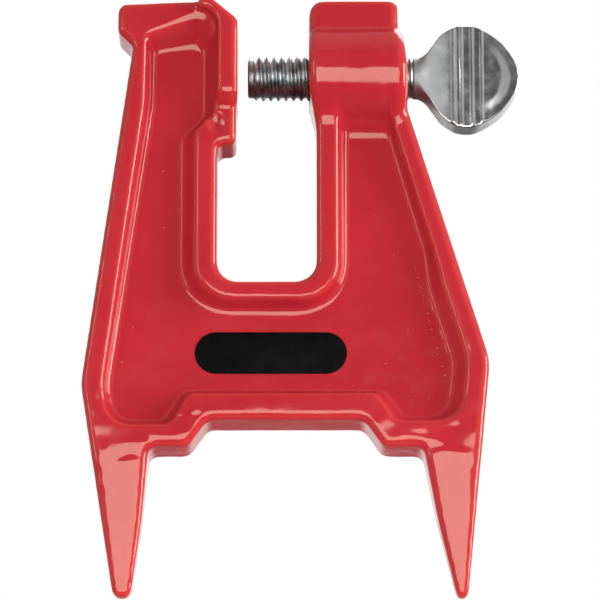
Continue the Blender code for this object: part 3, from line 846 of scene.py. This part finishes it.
@dataclass
class ThumbScrew:
    """The threaded shaft and its plated paddle, which turn together."""

    steel: bpy.types.Material
    plate: bpy.types.Material
    axis_height: float = 80.85 * MM
    pitch: float = 1.5875 * MM
    crest_radius: float = 4.65 * MM
    root_radius: float = 4.05 * MM
    tip_length: float = 1.2 * MM
    tip_rounding: float = 0.55 * MM
    tip_slope: float = 0.9
    tip_land: float = 0.05 * MM
    core: float = 0.1 * MM
    neck_grip: float = 0.8 * MM
    run_out: float = 0.6
    lead_turns: int = 2
    spare_turns: int = 3
    turn_steps: int = 48
    merge_reach: float = 0.001 * MM
    sharp_angle: float = 62
    profile: tuple[Spot, ...] = (
        (0.0, 0.0), (0.10, 0.02), (0.20, 0.18), (0.30, 0.60), (0.38, 0.90), (0.46, 1.0),
        (0.54, 1.0), (0.62, 0.90), (0.70, 0.60), (0.80, 0.18), (0.90, 0.02),
    )
    outline: tuple[Spot, ...] = (
        (0.0, 0.385), (0.05, 0.385), (0.118, 0.458), (0.163, 0.566), (0.258, 0.779), (0.353, 0.918),
        (0.416, 0.975), (0.507, 1.0), (0.579, 0.98), (0.661, 0.91), (0.756, 0.80), (0.851, 0.645),
        (0.923, 0.46), (0.966, 0.313), (0.99, 0.166), (1.0, 0.0),
    )
    outline_lead: float = -0.05
    outline_return: Spot = (0.99, -0.166)
    outline_points: int = 160
    blade_half: float = 2.75 * MM
    blade_drop: float = 0.25 * MM
    drop_run: float = 0.4
    blade_rounding: float = 0.5 * MM
    rounding_steps: int = 4
    rounding_angle: float = math.radians(60)
    blade_top: float = 0.972
    voxel: float = 0.17 * MM
    softness: float = 0.5
    softening: int = 2
    last_softness: float = 0.4
    thinnest: float = 0.3 * MM
    neck_radius: float = 4.35 * MM
    flare: Ramp = Ramp(0.7, 8.1)
    flare_share: float = 0.55
    quick: Ramp = Ramp(0.4, 3.4)
    quick_share: float = 0.45
    slow: Ramp = Ramp(0.4, 5.5)
    face_start: float = 0.8
    face_run: float = 0.2
    rim_centre: float = 37.0 * MM
    rim: Ramp = Ramp(6.6, 2.5)
    rim_depth: float = 0.40 * MM
    rim_power: float = 1.3
    lump: float = 0.05 * MM
    lump_scale: Spot = (600, 700)
    lump_end: Ramp = Ramp(2.2, 2.5)
    ridges: tuple[tuple[float, float, float], ...] = (
        (33.80, 0.90, 0.27), (35.50, 0.52, 0.19), (37.70, 0.66, 0.21), (39.75, 0.56, 0.19),
    )
    wander: float = 0.14
    wander_seed: float = 1.7
    wander_scale: float = 230
    ridge_fade: float = 0.05
    wear: float = 0.8
    wear_spread: float = 0.5
    wear_side: float = 3
    wear_scale: float = 150

    def thread(self) -> bpy.types.Object:
        """Makes the threaded shaft by winding one pitch of its profile round the axis.

        Returns:
            The shaft, which stands for the plain one.
        """
        low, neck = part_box("clamp_screw")[0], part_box("thumb_paddle")[0].x
        end = neck + self.neck_grip
        turns = math.ceil((end - low.x) / self.pitch) + self.spare_turns
        start = low.x - self.lead_turns * self.pitch
        depth = self.crest_radius - self.root_radius
        Bench.clear()
        bpy.ops.mesh.primitive_circle_add(vertices=3, radius=MM)
        shaft = bpy.context.object
        shaft.name = shaft.data.name = "threaded_shaft"
        shape = bmesh.new()
        line = [
            shape.verts.new((start + share * self.pitch, 0, self.root_radius + rise * depth))
            for share, rise in (*self.profile, (1.0, 0.0))
        ]
        for first, second in zip(line, line[1:]):
            shape.edges.new((first, second))
        shape.to_mesh(shaft.data)
        shape.free()
        Bench.modify(
            shaft, "SCREW", axis="X", angle=math.tau, screw_offset=self.pitch, iterations=turns,
            steps=self.turn_steps, render_steps=self.turn_steps, use_merge_vertices=True,
            merge_threshold=self.merge_reach,
        )
        Bench.weld(shaft)
        Bench.move_points(shaft, lambda point: point + Vector((0, 0, self.axis_height)))
        Bench.cut(shaft, (end, 0, 0), (1, 0, 0))
        Bench.cut(shaft, (low.x, 0, 0), (-1, 0, 0))
        axis = Vector((0, 0, self.axis_height))

        def chamfer(point: Vector) -> Vector:
            """Gives the tip a plain land with a round edge, and runs the thread out at the neck.

            Args:
                point: the point's place.

            Returns:
                Its place, moved towards the axis where it stood out.
            """
            arm = Vector((0, point.y, point.z - axis.z))
            along = point.x - low.x
            short = held(1 - along / self.tip_rounding)
            land = self.root_radius + self.tip_land
            limit = land - self.tip_rounding * (1 - math.sqrt(1 - short * short))
            limit += max(0.0, along - self.tip_length) * self.tip_slope
            limit = min(limit, land + (neck - point.x) * self.run_out)
            if arm.length <= limit or arm.length < self.core:
                return point
            arm *= limit / arm.length
            return Vector((point.x, arm.y, axis.z + arm.z))

        Bench.move_points(shaft, chamfer)
        Bench.outward(shaft)
        Bench.smooth(shaft, self.sharp_angle)
        shaft.data.materials.append(self.steel)
        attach(shaft, Body.PADDLE.value)
        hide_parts("clamp_screw")
        return shaft

    def blade_width(self, share: float) -> float:
        """Gives the blade's half width on a smooth curve through the spots of its outline.

        Args:
            share: how far along the blade the place is, from 0 to 1.

        Returns:
            The half width there, as a share of the widest.
        """
        spots = [(self.outline_lead, self.outline[0][1]), *self.outline, self.outline_return]
        for before, start, end, after in zip(spots, spots[1:], spots[2:], spots[3:]):
            if share <= end[0] or end is spots[-2]:
                t = (share - start[0]) / (end[0] - start[0])
                square = 2 * before[1] - 5 * start[1] + 4 * end[1] - after[1]
                bend = (end[1] - before[1]) * t + square * t**2
                bend += (3 * start[1] - before[1] - 3 * end[1] + after[1]) * t**3
                return max(0.0, start[1] + bend / 2)
        return 0.0

    def paddle(self) -> bpy.types.Object:
        """Makes the forged paddle from a plate of its outline, then sculpts its neck and ridges.

        Returns:
            The paddle, which stands for the solid one.
        """
        low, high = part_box("thumb_paddle")
        length, half_width = high.x - low.x, (high.z - low.z) / 2
        centre = self.axis_height
        Bench.clear()
        bpy.ops.mesh.primitive_circle_add(
            vertices=self.outline_points, radius=1.0, fill_type="NGON",
            location=(0, -self.blade_half, 0), rotation=(math.pi / 2, 0, 0),
        )
        plate = bpy.context.object
        plate.name = plate.data.name = "forged_paddle"
        bpy.ops.object.transform_apply(location=True, rotation=True, scale=True)

        def outline(point: Vector) -> Vector:
            """Moves a point of the round plate onto the paddle's outline.

            Args:
                point: the point's place.

            Returns:
                Its new place.
            """
            share = (1 + point.x) / 2
            width = self.blade_width(share) * half_width
            if point.z > 0:
                width = min(width, self.blade_top * half_width)
            return Vector((low.x + share * length, point.y, centre + math.copysign(width, point.z)))

        Bench.move_points(plate, outline)
        Bench.edit(plate)
        bpy.ops.mesh.extrude_region_move(
            TRANSFORM_OT_translate={"value": (0, 2 * self.blade_half, 0)}
        )
        Bench.close()
        Bench.weld(plate)
        Bench.outward(plate)
        Bench.modify(
            plate, "BEVEL", width=self.blade_rounding, segments=self.rounding_steps,
            limit_method="ANGLE", angle_limit=self.rounding_angle, use_clamp_overlap=True,
        )
        Bench.modify(plate, "REMESH", mode="VOXEL", voxel_size=self.voxel, use_smooth_shade=True)
        Bench.modify(plate, "SMOOTH", factor=self.softness, iterations=self.softening)

        def sculpt(point: Vector) -> Vector:
            """Rounds the neck, thins the far rim and raises the finger ridges on both faces.

            Args:
                point: the point's place.

            Returns:
                Its new place.
            """
            along = point.x - low.x
            share = along / length
            side = math.copysign(1.0, point.y)
            width = max(self.thinnest, self.blade_width(min(1.0, share)) * half_width)
            flat = min(1.0, abs(point.y) / self.blade_half)
            height = point.z - centre
            across = max(-1.0, min(1.0, height / width))
            flare, quick, slow = self.flare.at(along), self.quick.at(along), self.slow.at(along)
            swell = self.flare_share * (1 - flare) + self.quick_share * (1 - quick)
            depth = flat * (self.blade_half + (self.neck_radius - self.blade_half) * swell)
            depth *= 1 - (1 - quick) * (1 - math.sqrt(1 - across * across / 2))
            height *= 1 - (1 - slow) * (1 - math.sqrt(1 - flat * flat / 2))
            face = held((flat - self.face_start) / self.face_run)
            out = math.hypot(point.x - self.rim_centre, height)
            far = max(0.0, (point.x - self.rim_centre) / max(out, MM))
            depth -= face * self.rim_depth * self.rim.at(out) * far**self.rim_power
            step_x, step_z = self.lump_scale
            lumps = noise.noise(Vector((point.x * step_x, side, point.z * step_z)))
            depth += self.lump * lumps * flat * (1 - self.lump_end.at(along))
            seed = Vector((self.wander_seed, side, point.z * self.wander_scale))
            shift = self.wander * noise.noise(seed)
            fade = held((1 - abs(across)) / self.ridge_fade)
            for place, half, rise in self.ridges:
                reach = abs(point.x / MM + shift - place) / half
                if reach < 1:
                    seed = Vector((place, side * self.wear_side, point.z * self.wear_scale))
                    worn = self.wear + self.wear_spread * noise.noise(seed)
                    depth += face * fade * rise * worn * MM * ease(1 - reach)
            height -= self.blade_drop * min(1.0, share / self.drop_run)
            return Vector((point.x, side * depth, centre + height))

        Bench.move_points(plate, sculpt)
        Bench.modify(plate, "SMOOTH", factor=self.last_softness, iterations=1)
        Bench.smooth(plate)
        plate.data.materials.append(self.plate)
        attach(plate, Body.PADDLE.value)
        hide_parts("thumb_paddle")
        return plate


@dataclass(frozen=True)
class SoftBox:
    """One soft box. Its turn is from the front towards the right, its rise above level."""

    name: str
    turn: float
    rise: float
    distance: float
    width: float
    height: float
    radiance: float
    mirrored: bool = True


@dataclass(frozen=True)
class RoomGlow:
    """One glow of the room, which grows along an axis of the direction of sight."""

    axis: str
    start: float
    full: float
    level: float


@dataclass
class Studio:
    """The floor, the light and the camera, none of which is part of the object."""

    tilt: float = math.radians(16)
    distance: float = 900 * MM
    aim: Point = (1.6 * MM, 0, 32.45 * MM)
    lens: float = 260.1
    sensor: float = 36
    clip: Span = (0.01, 20)
    floor_height: float = -31.0 * MM
    floor_size: float = 2.4
    floor_tone: float = 0.86
    floor_roughness: float = 0.9
    hub: Point = (0, 0, 50 * MM)
    boxes: tuple[SoftBox, ...] = (
        SoftBox("front_low", 0, -7.4, 1.30, 0.85, 0.72, 5.4),
        SoftBox("right_key", 72, 6, 1.10, 0.46, 0.66, 11.5),
        SoftBox("left_strip", -44, 8, 1.20, 0.07, 0.55, 9.0),
        SoftBox("ground_bounce", -20, -86, 0.45, 0.45, 0.45, 2.9, mirrored=False),
        SoftBox("back_top", 160, 52, 1.20, 0.80, 0.70, 3.8),
        SoftBox("back_fill", 196, 8, 1.40, 0.90, 0.80, 3.0, mirrored=False),
    )
    room: tuple[RoomGlow, ...] = (
        RoomGlow("Y", 0.5, 0.9, 0.85),
        RoomGlow("X", -0.12, -0.5, 0.46),
        RoomGlow("X", 0.10, 0.40, 0.58),
        RoomGlow("Z", 0.7, 0.95, 0.5),
    )
    backdrop: RoomGlow = RoomGlow("Y", 0.5, 0.9, 1.0)
    room_base: float = 0.09
    ground: RoomGlow = RoomGlow("Z", -0.28, -0.02, 1.0)
    ground_shade: float = 0.2

    def camera(self) -> None:
        """Sets the camera below the object, where the photograph was taken from."""
        forward = Vector((0, math.cos(self.tilt), math.sin(self.tilt)))
        data = bpy.data.cameras.new("photo_camera")
        data.lens = self.lens
        data.sensor_width = self.sensor
        data.clip_start, data.clip_end = self.clip
        camera = bpy.data.objects.new("photo_camera", data)
        bpy.context.scene.collection.objects.link(camera)
        camera.location = Vector(self.aim) - forward * self.distance
        camera.rotation_euler = forward.to_track_quat("-Z", "Y").to_euler()
        bpy.context.scene.camera = camera

    def lights(self) -> None:
        """Hangs the soft boxes round the object."""
        for box in self.boxes:
            data = bpy.data.lights.new(box.name, "AREA")
            data.shape = "RECTANGLE"
            data.size, data.size_y = box.width, box.height
            data.energy = box.radiance * math.pi * box.width * box.height
            lamp = bpy.data.objects.new(box.name, data)
            bpy.context.scene.collection.objects.link(lamp)
            turn, rise = math.radians(box.turn), math.radians(box.rise)
            arm = Vector(
                (math.sin(turn) * math.cos(rise), -math.cos(turn) * math.cos(rise), math.sin(rise))
            )
            lamp.location = Vector(self.hub) + arm * box.distance
            lamp.rotation_euler = (-arm).to_track_quat("-Z", "Y").to_euler()
            lamp.visible_camera = False
            lamp.visible_glossy = box.mirrored

    def world(self) -> None:
        """Makes the room: a white backdrop behind, and dark in front apart from its glows."""
        world = bpy.data.worlds.new("studio")
        bpy.context.scene.world = world
        world.use_nodes = True
        tree = world.node_tree
        tree.nodes.clear()

        def math_of(operation: str, first: Any, second: Any) -> Any:
            """Works out one value from two.

            Args:
                operation: what the node does with them.
                first: the first value output.
                second: the second value output.

            Returns:
                The result's value output.
            """
            node = tree.nodes.new("ShaderNodeMath")
            node.operation = operation
            tree.links.new(first, node.inputs[0])
            tree.links.new(second, node.inputs[1])
            return node.outputs["Value"]

        def larger(first: Any, second: Any) -> Any:
            """Gives the larger of two values."""
            return math_of("MAXIMUM", first, second)

        def product(first: Any, second: Any) -> Any:
            """Multiplies two values."""
            return math_of("MULTIPLY", first, second)

        place = tree.nodes.new("ShaderNodeTexCoord")
        parts = tree.nodes.new("ShaderNodeSeparateXYZ")
        tree.links.new(place.outputs["Generated"], parts.inputs[0])

        def ramp(glow: RoomGlow, low: float) -> Any:
            """Adds a value that grows along an axis of the direction of sight.

            Args:
                glow: the axis, where the value starts and stops to grow, and its highest.
                low: its lowest.

            Returns:
                The value output.
            """
            node = tree.nodes.new("ShaderNodeMapRange")
            node.interpolation_type = "SMOOTHSTEP"
            node.inputs["From Min"].default_value = glow.start
            node.inputs["From Max"].default_value = glow.full
            node.inputs["To Min"].default_value = low
            node.inputs["To Max"].default_value = glow.level
            tree.links.new(parts.outputs[glow.axis], node.inputs["Value"])
            return node.outputs["Result"]

        level = None
        for glow in self.room:
            result = ramp(glow, self.room_base)
            level = result if level is None else larger(level, result)
        shade = ramp(self.ground, self.ground_shade)
        level = product(level, shade)
        rays = tree.nodes.new("ShaderNodeLightPath")
        seen = larger(rays.outputs["Is Camera Ray"], rays.outputs["Is Transmission Ray"])
        behind = ramp(self.backdrop, 0.0)
        mirrored = product(product(behind, shade), rays.outputs["Is Glossy Ray"])
        seen = larger(seen, mirrored)
        backdrop = tree.nodes.new("ShaderNodeBackground")
        backdrop.inputs["Color"].default_value = (1, 1, 1, 1)
        tree.links.new(larger(level, seen), backdrop.inputs["Strength"])
        output = tree.nodes.new("ShaderNodeOutputWorld")
        tree.links.new(backdrop.outputs[0], output.inputs["Surface"])

    def floor(self) -> None:
        """Lays a pale floor under the spike tips. It shows from above only."""
        Bench.clear()
        bpy.ops.mesh.primitive_plane_add(size=self.floor_size, location=(0, 0, self.floor_height))
        floor = bpy.context.object
        floor.name = "studio_floor"
        material = bpy.data.materials.new("studio_floor")
        material.use_nodes = True
        tree = material.node_tree
        shader = tree.nodes["Principled BSDF"]
        tone = self.floor_tone
        shader.inputs["Base Color"].default_value = (tone, tone, tone, 1)
        shader.inputs["Roughness"].default_value = self.floor_roughness
        clear = tree.nodes.new("ShaderNodeBsdfTransparent")
        geometry = tree.nodes.new("ShaderNodeNewGeometry")
        rays = tree.nodes.new("ShaderNodeLightPath")
        front = tree.nodes.new("ShaderNodeMath")
        front.operation = "SUBTRACT"
        front.use_clamp = True
        tree.links.new(rays.outputs["Is Camera Ray"], front.inputs[0])
        tree.links.new(geometry.outputs["Backfacing"], front.inputs[1])
        mix = tree.nodes.new("ShaderNodeMixShader")
        tree.links.new(front.outputs["Value"], mix.inputs["Fac"])
        tree.links.new(clear.outputs[0], mix.inputs[1])
        tree.links.new(shader.outputs[0], mix.inputs[2])
        tree.links.new(mix.outputs[0], tree.nodes["Material Output"].inputs["Surface"])
        floor.data.materials.append(material)

    def build(self) -> None:
        """Sets up the camera, the lights, the world and the floor."""
        self.camera()
        self.lights()
        self.world()
        self.floor()
        bpy.context.scene.view_settings.view_transform = "Standard"


def report(piece: bpy.types.Object) -> None:
    """Logs a finished piece's name and its count of triangles."""
    count = sum(len(face.vertices) - 2 for face in piece.data.polygons)
    LOG.info("%s: %d triangles", piece.name, count)


def main() -> None:
    """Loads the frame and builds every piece."""
    logging.basicConfig(level=logging.INFO, format="%(name)s: %(message)s")
    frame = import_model()
    nodes = frame["nodes"]
    Studio().build()
    enamel = RedEnamel().make()
    report(Casting(nodes["cast_frame"], enamel).build())
    report(PaintNibs(enamel).build())
    report(PrintedPanel(BlackPrint().make()).build())
    screw = ThumbScrew(ScrewSteel().make(), BrightPlate().make())
    report(screw.thread())
    report(screw.paddle())


if __name__ == "__main__":
    main()
